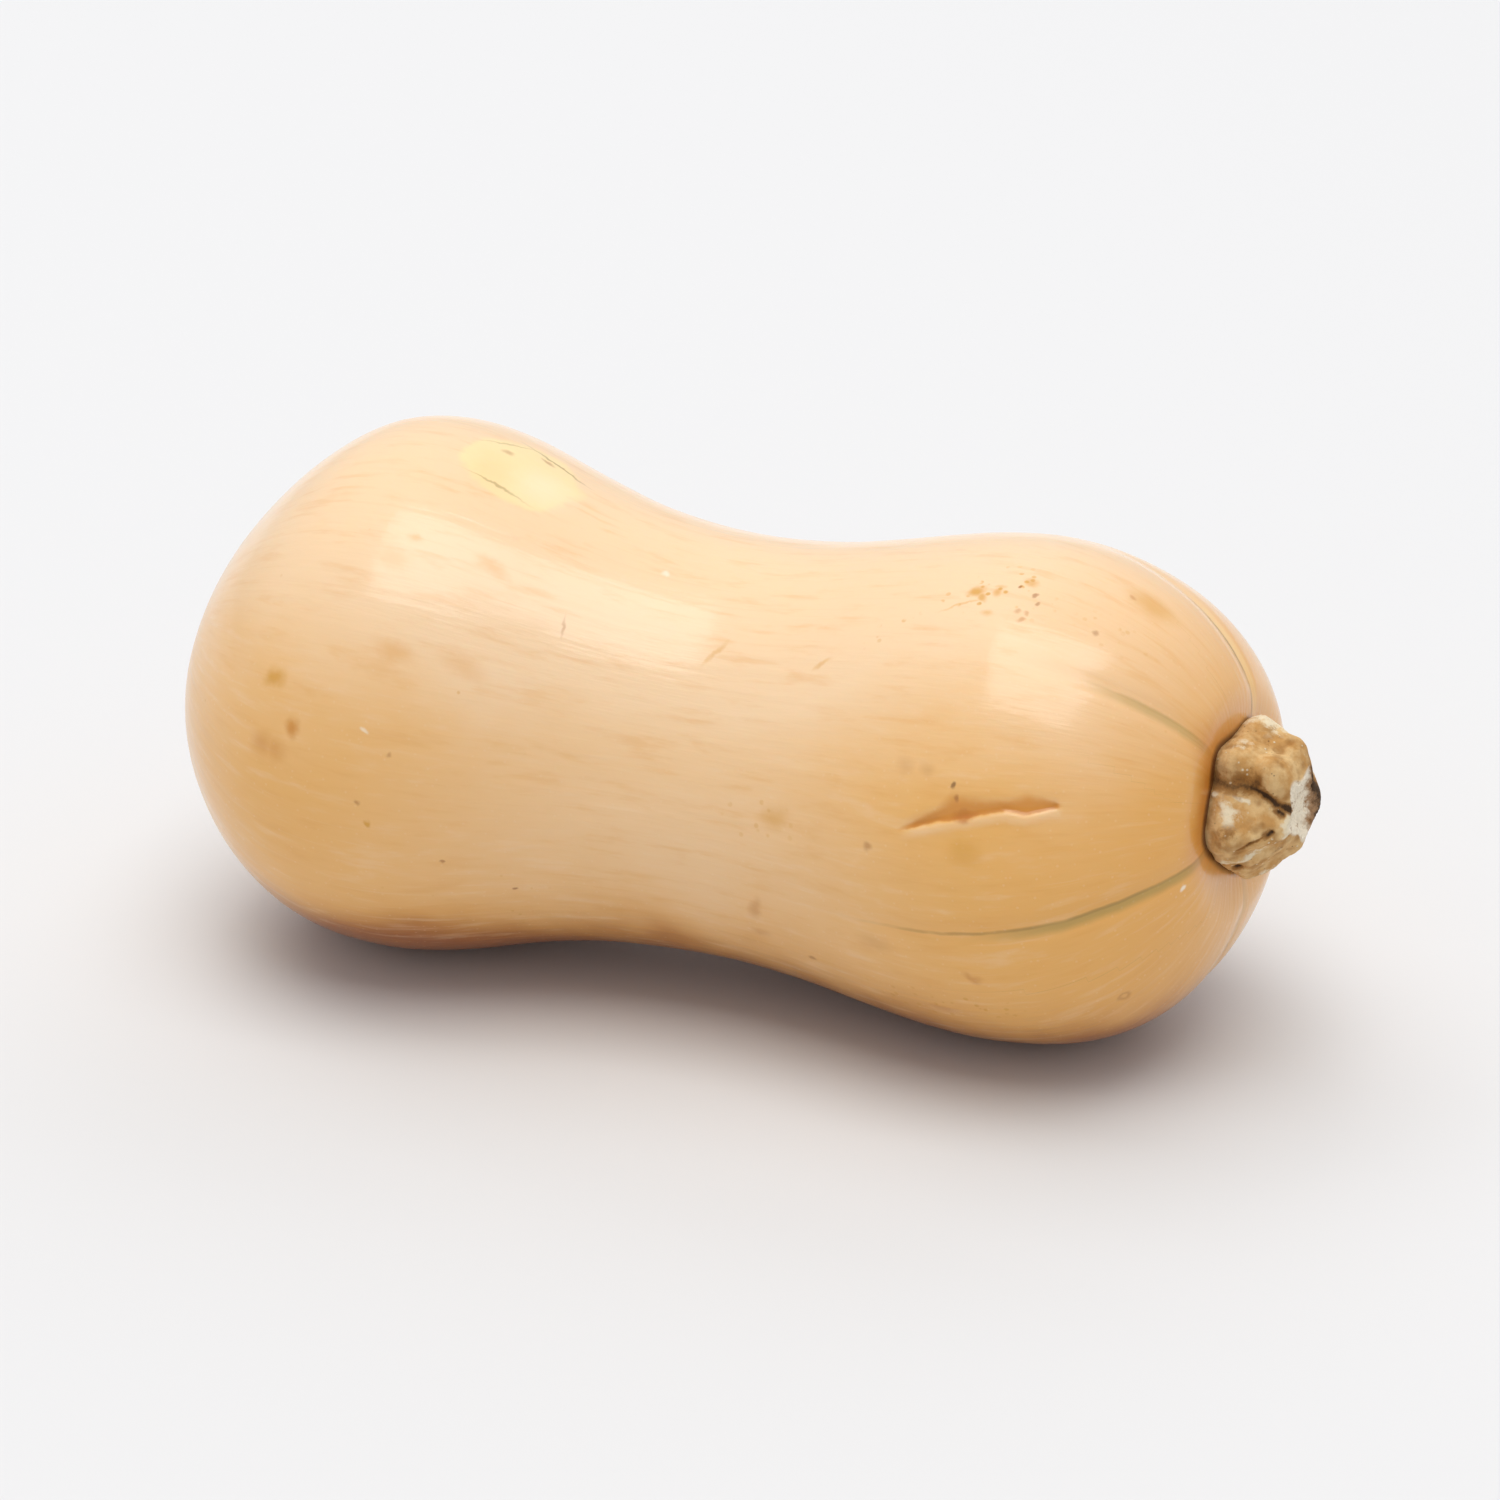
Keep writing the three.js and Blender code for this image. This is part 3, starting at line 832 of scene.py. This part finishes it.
# The pale yellow healed patch on top of the bulb, with its cracks
SCAR = [
    (63.5, 88, 12.6, 12.4, 0, 0.1, PALE_YELLOW, 0.85),
    (58, 82, 4, 6, 20, 0.9, OCHRE, 0.12),
    (69, 84, 5, 5, 0, 0.9, WHITISH, 0.3),
    (61, 78, 5.8, 0.3, -10, 0.8, OLIVE, 0.45),
    (57.5, 97, 5.6, 0.3, 30, 0.8, OLIVE, 0.35),
    (68, 98.5, 7, 0.35, -16, 0.7, OLIVE, 0.6),
    (66, 97.4, 1.4, 0.5, -16, 0.7, BROWN, 0.5),
    (58.4, 92, 1, 0.9, 0, 0.8, BROWN, 0.4),
]

# The marks' paints, from the lowest layer to the highest, and those that leave the rind dull
PAINTS = [PALE_YELLOW, DEEP_SKIN, OCHRE, GOLD, RUST, BROWN, DARK_BROWN, OLIVE, WHITISH, SKIN]
DULL_PAINTS = [PALE_YELLOW, OCHRE, GOLD, RUST, BROWN]

# Fields of fine specks: distance along, angle, half length, half width, heading, strength
SPECKLED = [
    (178, 72, 13, 7.5, 8, 0.75),
    (160, 63, 13, 3.5, 30, 0.4),
    (172, -35, 15, 5.5, 0, 0.6),
    (132, 8, 9, 5, 0, 0.35),
    (203, 70, 7, 4, 0, 0.3),
    (150, 190, 16, 8, 0, 0.5),
    (60, 230, 14, 9, 0, 0.4),
]

# Patterns of the rind: stretch of the place on the straightened fruit, then the noise's scale,
# detail, roughness and distortion
STREAK_STRETCH = (0.075, 0.4, 0.4)
STREAKS = (1, 3, 0.55, 0.2)
THREAD_STRETCH = (0.04, 1.2, 1.2)
THREADS = (1, 3, 0.6, 0.3)
CLOUDS = (22, 3, 0.55, 0.2)

# Ranges that the rind's colours fade over, with their strengths at both ends where those aren't
# 0 and 1: by a pattern's value, by height over the ground in metres, or along the fruit
STREAKS_DEEP = (0.5, 0.75, 0, 0.24)
STREAKS_PALE = (0.48, 0.25, 0, 0.3)
THREADS_DEEP = (0.55, 0.8, 0, 0.12)
THREADS_PALE = (0.42, 0.2, 0, 0.22)
# painted shade: the rind deepens towards the ground and turns brown on the underside
LOW_SHADE_HEIGHTS = (0, 0.036)
UNDER_SHADE_HEIGHTS = (0.027, 0.006, 0, 0.9)
# painted light: the top and the upper waist pale towards the rind's palest tone
TOP_LIGHT_HEIGHTS = (0.055, 0.1)
WAIST_START, WAIST_END = (60, 142), (222, 150)
WAIST_LIGHT_HEIGHTS = (0.012, 0.045)
WAIST_PAINTED_LIGHT = 0.7
STEM_END = (ARC[-1] - 75, ARC[-1] - 22, 0, 0.35)
CLOUD_DRIFT = 0.04       # how far clouds shift the ranges by height


def rind_colour(shader, straight, place):
    """Long soft streaks over clouds of paler and deeper rind, with painted shade that deepens it
    towards the ground and browns the underside, and painted light that pales its top and upper
    waist.
    """
    streaks = shader.noise(shader.stretched(straight, STREAK_STRETCH), *STREAKS)
    threads = shader.noise(shader.stretched(straight, THREAD_STRETCH), *THREADS)
    clouds = shader.noise(place, *CLOUDS)
    up = shader.parts(place)[2]
    drift = shader.times(shader.math("SUBTRACT", clouds, 0.5), CLOUD_DRIFT)
    up = shader.plus(up, drift)
    # painted shade: deeper towards the ground, brown on the underside
    colour = shader.mix(shader.band(up, *LOW_SHADE_HEIGHTS), LOW_SHADE_SKIN, SKIN)
    colour = shader.mix(shader.band(up, *UNDER_SHADE_HEIGHTS), colour, UNDER_SHADE_SKIN)
    along = shader.parts(straight)[0]
    # painted light: the upper waist and the top turn paler with height over the ground
    waist = shader.strip(along, WAIST_START, WAIST_END)
    waist = shader.times(waist, shader.band(up, *WAIST_LIGHT_HEIGHTS))
    top = shader.band(up, *TOP_LIGHT_HEIGHTS)
    paler = shader.plus(top, shader.times(waist, WAIST_PAINTED_LIGHT), True)
    colour = shader.mix(paler, colour, PALE_SKIN)
    for pattern, fade, paint in (
        (streaks, STREAKS_DEEP, DEEP_SKIN),
        (streaks, STREAKS_PALE, PALE_SKIN),
        (threads, THREADS_DEEP, DEEP_SKIN),
        (threads, THREADS_PALE, PALE_SKIN),
        (along, STEM_END, DEEP_SKIN),
    ):
        colour = shader.mix(shader.band(pattern, *fade), colour, paint)
    return colour


# Flecks and specks: how many in a metre, and the distances that they fade over. Their patches:
# the noise's scale, and the values that they fade over.
PORES = 520
PORES_FADE = (0.2, 0.05, 0, 0.22)
STRAY_FLECKS = (210, 0.1, 0.04)
STRAY_PATCHES = (45, 0.6, 0.7, 0, 0.4)
FINE_SPECKS = (470, 0.32, 0.16)
FINE_PATCHES = (220, 0.44, 0.54)
FIELD_SOFTNESS = 0.5     # how softly a field of specks ends


def flecks_and_specks(shader, colour, straight, place):
    """Pores and stray flecks all over, and the fields of fine ochre specks."""
    pores = shader.band(shader.cells(place, PORES), *PORES_FADE)
    colour = shader.mix(pores, colour, PALE_SKIN)
    field = shader.dots(place, place, STRAY_FLECKS, STRAY_PATCHES)
    fine = shader.dots(place, place, FINE_SPECKS, FINE_PATCHES)
    for *oval, strength in SPECKLED:
        inside = shader.mark(straight, *oval, FIELD_SOFTNESS)
        speck = shader.times(shader.times(inside, fine), strength)
        field = shader.math("MAXIMUM", field, speck)
    return shader.mix(field, colour, OCHRE)


# Colours of a groove, by the distance from its line: the ranges that a strip rises and falls
# over, and its strength. The line wanders and is broken by noise.
GROOVE_WANDER = (160, 3)
GROOVE_WANDER_WIDTH = 0.9
GROOVE_VALLEY = (8, 0, 0, 0.2)
GREEN_STRIP = ((-2.7, -0.8), (0.4, -0.3), 0.75)
PALE_STRIP = ((0, 0.6), (2.8, 1.4), 0.6)
GROOVE_LINE = (0.6, 0.1)
GROOVE_BREAKS = 140
GROOVE_BREAKS_FADE = (0.35, 0.6, 0.4, 0.85)


def groove_colour(shader, colour, place):
    """A warm valley, the grey-green band below each groove and its dark, broken line."""
    across = shader.attribute("groove_across")
    wander = shader.times(shader.noise(place, *GROOVE_WANDER), GROOVE_WANDER_WIDTH)
    across = shader.plus(across, wander)
    across = shader.math("SUBTRACT", across, GROOVE_WANDER_WIDTH / 2)
    tones = shader.attribute("groove_tone", "Vector")
    line, green, pale = shader.parts(tones)
    beside = shader.math("ABSOLUTE", across)
    valley = shader.times(shader.band(beside, *GROOVE_VALLEY), line)
    colour = shader.mix(valley, colour, DEEP_SKIN)
    for (rise, fall, strength), shown, paint in (
        (GREEN_STRIP, green, GREY_GREEN),
        (PALE_STRIP, pale, PALE_YELLOW),
    ):
        strip = shader.strip(across, rise, fall)
        strip = shader.times(strip, shader.times(shown, strength))
        colour = shader.mix(strip, colour, paint)
    broken = shader.band(shader.noise(place, GROOVE_BREAKS), *GROOVE_BREAKS_FADE)
    thin = shader.times(shader.band(beside, *GROOVE_LINE), line)
    return shader.mix(shader.times(thin, broken), colour, OLIVE)


# Colours of the slit: the sunk rind fades in by the distance above the lower edge, and out by its
# share of the slit's width. The dark edge and the painted highlight on the lip below it are strips
# with their strength and paint.
SLIT_WANDER = (420, 3)
SLIT_WANDER_WIDTH = 0.8
SLIT_COLOUR_OPENS = (0.3, 1.2)
SUNK_RISE = (-0.3, 0.25)
SUNK_FALL = (1.25, 0.5)
SUNK_STRENGTH = 0.9
NEVER_ZERO = 0.01        # added to the slit's width before a division by it
SLIT_STRIPS = [
    ((-0.2, 0.1), (1.1, 0.3), 0.3, RUST),
    # painted highlight on the raised lip below the edge
    ((-0.1, -0.6), (-2.4, -1), 0.35, PALE_SKIN),
]


def slit_colour(shader, colour, place):
    """Orange sunken rind above the slit's lower edge, and a painted highlight on the lip below it.
    """
    wander = shader.math("SUBTRACT", shader.noise(place, *SLIT_WANDER), 0.5)
    above = shader.attribute("slit_above")
    above = shader.plus(above, shader.times(wander, SLIT_WANDER_WIDTH))
    width = shader.attribute("slit_width")
    share = shader.math("DIVIDE", above, shader.plus(width, NEVER_ZERO))
    opening = shader.band(width, *SLIT_COLOUR_OPENS)
    sunk = shader.times(shader.band(above, *SUNK_RISE), shader.band(share, *SUNK_FALL))
    sunk = shader.times(sunk, opening)
    colour = shader.mix(shader.times(sunk, SUNK_STRENGTH), colour, SLIT_SKIN)
    for rise, fall, strength, paint in SLIT_STRIPS:
        strip = shader.times(shader.strip(above, rise, fall), opening)
        colour = shader.mix(shader.times(strip, strength), colour, paint)
    return colour


def marked(shader, colour, ragged, patchy):
    """The colour with all the marks laid over it, one paint after another, and how dull they
    leave the rind."""
    dull = 0.0
    for paint in PAINTS:
        covered = 0.0
        near = patchy if paint == PALE_YELLOW else ragged
        for along, angle, length, width, heading, softness, mark_paint, strength in SCAR + MARKS:
            if mark_paint == paint:
                mask = shader.mark(near, along, angle, length, width, heading, softness)
                covered = shader.math("MAXIMUM", shader.times(mask, strength), covered)
        colour = shader.mix(covered, colour, paint)
        if paint in DULL_PAINTS:
            dull = shader.math("MAXIMUM", covered, dull)
    return colour, dull


# How ragged the marks' and the pale patch's edges are: the noise's scale and reach
RAGGED = (260, 2.6)
PATCHY = (100, 9)

# Colours round the stem and at the blossom end: the distances that they fade over, and their
# strengths
STEM_WARMTH = 0.95
CREVICE_SHADE_FADE = (1.9, 0.6, 0, 0.92)
# painted shade: dark brown in the crevice round the stem's foot
BLOSSOM_WARMTH = (13, 5, 0, 0.4)
BLOSSOM_BROWN = (5.5, 3.5, 0, 0.8)

# The rind's finish: its roughness follows noise and is higher on dull marks, and two bumps, each
# with its depth in metres and its strength, break up the gloss
GLOSS_NOISE = (70, 4, 0.6)
GLOSS_ROUGHNESS = (0.3, 0.7, 0.3, 0.38)
DULL_ROUGHNESS = 0.25
RIPPLE_STRETCH = (0.05, 0.5, 0.5)
RIPPLE_NOISE = (1, 3, 0.5)
RIPPLE_BUMP = (0.0006, 0.2)
GRAIN_NOISE = (900, 2)
GRAIN_BUMP = (0.0001, 0.15)
RIND_FINISH = {
    "Specular IOR Level": 0.3,
    "Coat Weight": 0.65,
    "Coat Roughness": 0.14,
    "Subsurface Weight": 0.12,
    "Subsurface Radius": (1, 0.5, 0.2),
    "Subsurface Scale": 0.004,
}


def skin_material():
    shader = Shader("squash_rind")
    straight = shader.attribute("straight", "Vector")
    place = shader.place()
    ragged = shader.wandering(straight, place, *RAGGED)
    patchy = shader.wandering(straight, place, *PATCHY)

    colour = rind_colour(shader, straight, place)
    colour = flecks_and_specks(shader, colour, straight, place)
    colour = groove_colour(shader, colour, place)
    colour = slit_colour(shader, colour, place)
    colour, dull = marked(shader, colour, ragged, patchy)

    # warm rind round the foot of the stem with painted shade in its crevice, and the brown blossom
    # button
    gap = shader.attribute("stem_gap")
    warmth = shader.times(shader.attribute("stem_warmth"), STEM_WARMTH)
    colour = shader.mix(warmth, colour, WARM_SKIN)
    colour = shader.mix(shader.band(gap, *CREVICE_SHADE_FADE), colour, DARK_BROWN)
    along = shader.parts(straight)[0]
    colour = shader.mix(shader.band(along, *BLOSSOM_WARMTH), colour, WARM_SKIN)
    colour = shader.mix(shader.band(along, *BLOSSOM_BROWN), colour, BROWN)
    shader.give("Base Color", colour)

    gloss = shader.band(shader.noise(place, *GLOSS_NOISE), *GLOSS_ROUGHNESS)
    gloss = shader.plus(gloss, shader.times(dull, DULL_ROUGHNESS))
    shader.give("Roughness", gloss)
    for name, value in RIND_FINISH.items():
        shader.give(name, value)

    ripple = shader.noise(shader.stretched(straight, RIPPLE_STRETCH), *RIPPLE_NOISE)
    normal = shader.bump(ripple, *RIPPLE_BUMP)
    normal = shader.bump(shader.noise(place, *GRAIN_NOISE), *GRAIN_BUMP, normal)
    shader.give("Normal", normal)
    shader.give("Coat Normal", normal)
    return shader.material


# Colours of the stem
CORK = tone(196, 148, 88)
LIGHT_CORK = tone(220, 184, 130)
DEEP_CORK = tone(146, 98, 44)
# near black: the cork's dark specks, and painted shade in its cracks
CORK_SPECKS_AND_SHADE = tone(62, 42, 24)
CORK_WHITE = tone(232, 218, 188)
CUT_WHITE = tone(240, 228, 206)

# The cork's noise (scale, detail, roughness), its dots and their patches, as on the rind, and
# the ranges that its colours fade over, with their strengths
CORK_TONES = (260, 4, 0.6)
CORK_TONES_FADE = (0.35, 0.65)
HOLLOW_SHADE_FADE = (0.05, -0.35, 0, 0.7)
RAGGED_CORK = (420, 4, 0.65)
RAGGED_CORK_FADE = (0.32, 0.68, -0.3, 0.3)
WHITE_DOTS = (620, 0.2, 0.1)
WHITE_DOT_PATCHES = (300, 0.5, 0.6)
WHITE_DOT_STRENGTH = 0.75
DARK_DOT_STRETCH = (1.3, 1, 1.1)
DARK_DOTS = (700, 0.2, 0.08)
DARK_DOT_PATCHES = (210, 0.5, 0.6)
DARK_DOT_STRENGTH = 0.65
FIBRES = (700, 5, 0.7)
FIBRES_FADE = (0.25, 0.5)
FIBRES_ROUGHNESS = (0.2, 0.8, 0.75, 0.95)
PALE_CORK_FADE = (0.25, 0.8, 0, 0.9)
RAGGED_DARK = 0.6
DEEP_CORK_FADE = (0.15, 0.6, 0, 0.85)
CORK_DARK_AND_SHADE_FADE = (0.55, 0.95, 0, 0.95)
CORK_SPECULAR = 0.25
CORK_BUMP_NOISE = (900, 5, 0.65)
CORK_BUMP = (0.0005, 0.6)
DOT_BUMP = (0.0002, 0.5)


def stem_material():
    shader = Shader("squash_stem_cork")
    place = shader.place()
    tones = shader.band(shader.noise(place, *CORK_TONES), *CORK_TONES_FADE)
    colour = shader.mix(tones, CORK, LIGHT_CORK)
    # painted shade: the cork deepens where its lumps sink in
    hollow_shade = shader.band(shader.attribute("lumps"), *HOLLOW_SHADE_FADE)
    colour = shader.mix(hollow_shade, colour, DEEP_CORK)
    ragged = shader.band(shader.noise(place, *RAGGED_CORK), *RAGGED_CORK_FADE)

    white_dots = shader.dots(place, place, WHITE_DOTS, WHITE_DOT_PATCHES)
    dark_dots = shader.stretched(place, DARK_DOT_STRETCH)
    dark_dots = shader.dots(dark_dots, place, DARK_DOTS, DARK_DOT_PATCHES)
    dark_dots = shader.times(dark_dots, DARK_DOT_STRENGTH)
    colour = shader.mix(dark_dots, colour, CORK_SPECKS_AND_SHADE)

    fibres = shader.noise(place, *FIBRES)
    torn = shader.mix(shader.band(fibres, *FIBRES_FADE), DEEP_CORK, CUT_WHITE)
    colour = shader.mix(shader.attribute("cut"), colour, torn)
    pale = shader.plus(shader.attribute("pale"), ragged)
    colour = shader.mix(shader.band(pale, *PALE_CORK_FADE), colour, CORK_WHITE)
    # the strokes' darkness: painted shade in the sunk cracks, valley and hole, the cork's own brown
    # on the raised patches and the cut's rim
    dark = shader.attribute("dark")
    deep = shader.plus(dark, shader.times(ragged, RAGGED_DARK))
    colour = shader.mix(shader.band(deep, *DEEP_CORK_FADE), colour, DEEP_CORK)
    colour = shader.mix(shader.band(deep, *CORK_DARK_AND_SHADE_FADE), colour, CORK_SPECKS_AND_SHADE)
    white = shader.times(white_dots, WHITE_DOT_STRENGTH)
    colour = shader.mix(white, colour, CORK_WHITE)
    shader.give("Base Color", colour)
    shader.give("Roughness", shader.band(fibres, *FIBRES_ROUGHNESS))
    shader.give("Specular IOR Level", CORK_SPECULAR)
    normal = shader.bump(shader.noise(place, *CORK_BUMP_NOISE), *CORK_BUMP)
    normal = shader.bump(white_dots, *DOT_BUMP, normal)
    shader.give("Normal", normal)
    return shader.material


# Camera: the picture's viewing angle, and the point that it is centred on
CAMERA_AZIMUTH = 21.8
CAMERA_ELEVATION = 25
CAMERA_DISTANCE = 900
CAMERA_LENS = 108
CAMERA_SENSOR = 36
CAMERA_CLIP = (0.01, 50)
CENTRED_RIGHT = 6.5
CENTRED_UP = -0.3


def make_camera():
    azimuth, elevation = math.radians(CAMERA_AZIMUTH), math.radians(CAMERA_ELEVATION)
    back = Vector((math.sin(azimuth) * math.cos(elevation),
                   -math.cos(azimuth) * math.cos(elevation), math.sin(elevation)))
    right = Vector((math.cos(azimuth), math.sin(azimuth), 0))
    up = back.cross(right)
    spot = right * CENTRED_RIGHT + up * CENTRED_UP + back * CAMERA_DISTANCE
    camera = bpy.data.objects.new("camera", bpy.data.cameras.new("camera"))
    camera.data.lens = CAMERA_LENS
    camera.data.sensor_width = CAMERA_SENSOR
    camera.data.clip_start, camera.data.clip_end = CAMERA_CLIP
    camera.rotation_mode = "QUATERNION"
    camera.rotation_quaternion = (-back).to_track_quat("-Z", "Y")
    camera.location = to_frame(np.array(spot))
    bpy.context.scene.collection.objects.link(camera)
    bpy.context.scene.camera = camera


# Studio, in metres and watts: a wide pale floor, one softbox above it that the rind mirrors,
# and two panels that only light the fruit and the floor
FLOOR_SIZE = 40
FLOOR_DROP = 0.0001      # how far the floor lies below the fruit's flat spots
FLOOR_TINT = (0.6, 2)    # scale and detail of its colour's noise
FLOOR_ROUGHNESS = 0.9
FLOOR_SPECULAR = 0.1
FLOOR_PALE = tone(223, 223, 224)
FLOOR_DEEP = tone(221, 221, 222)
SKY_STRENGTH = 0.56
PANEL_LEVEL = 3.85
PANELS = {
    "softbox": {"x": 0.48, "y": -0.8, "size": (2.8, 3), "power": 78, "mirrored": True},
    "left_panel": {"x": -2.2, "y": 0.8, "size": (3, 3), "power": 50, "mirrored": False},
    "back_panel": {"x": 0, "y": 6.2, "size": (6.4, 6.6), "power": 150, "mirrored": False},
}


def make_stage():
    """A wide pale floor under an even pale sky and the overhead panels."""
    bpy.ops.mesh.primitive_plane_add(size=FLOOR_SIZE, location=(0, 0, -FLOOR_DROP))
    floor = bpy.context.object
    floor.name = "floor"
    shader = Shader("floor_paper")
    tint = shader.noise(shader.place(), *FLOOR_TINT)
    shader.give("Base Color", shader.mix(tint, FLOOR_PALE, FLOOR_DEEP))
    shader.give("Roughness", FLOOR_ROUGHNESS)
    shader.give("Specular IOR Level", FLOOR_SPECULAR)
    floor.data.materials.append(shader.material)

    world = bpy.data.worlds.new("sky")
    world.use_nodes = True
    world.node_tree.nodes["Background"].inputs["Color"].default_value = (1, 1, 1, 1)
    world.node_tree.nodes["Background"].inputs["Strength"].default_value = SKY_STRENGTH
    bpy.context.scene.world = world
    bpy.context.scene.view_settings.view_transform = "Standard"
    for name, panel in PANELS.items():
        light = bpy.data.lights.new(name, "AREA")
        light.shape = "RECTANGLE"
        light.size, light.size_y = panel["size"]
        light.energy = panel["power"]
        lamp = bpy.data.objects.new(name, light)
        lamp.location = (panel["x"], panel["y"], PANEL_LEVEL)
        lamp.visible_glossy = panel["mirrored"]
        bpy.context.scene.collection.objects.link(lamp)


def dress(piece, material, node):
    piece.data.materials.append(material)
    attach(piece, "root")
    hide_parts(node)


make_camera()
make_stage()
dress(make_fruit(), skin_material(), "fruit")
dress(make_stem(), stem_material(), "stem")
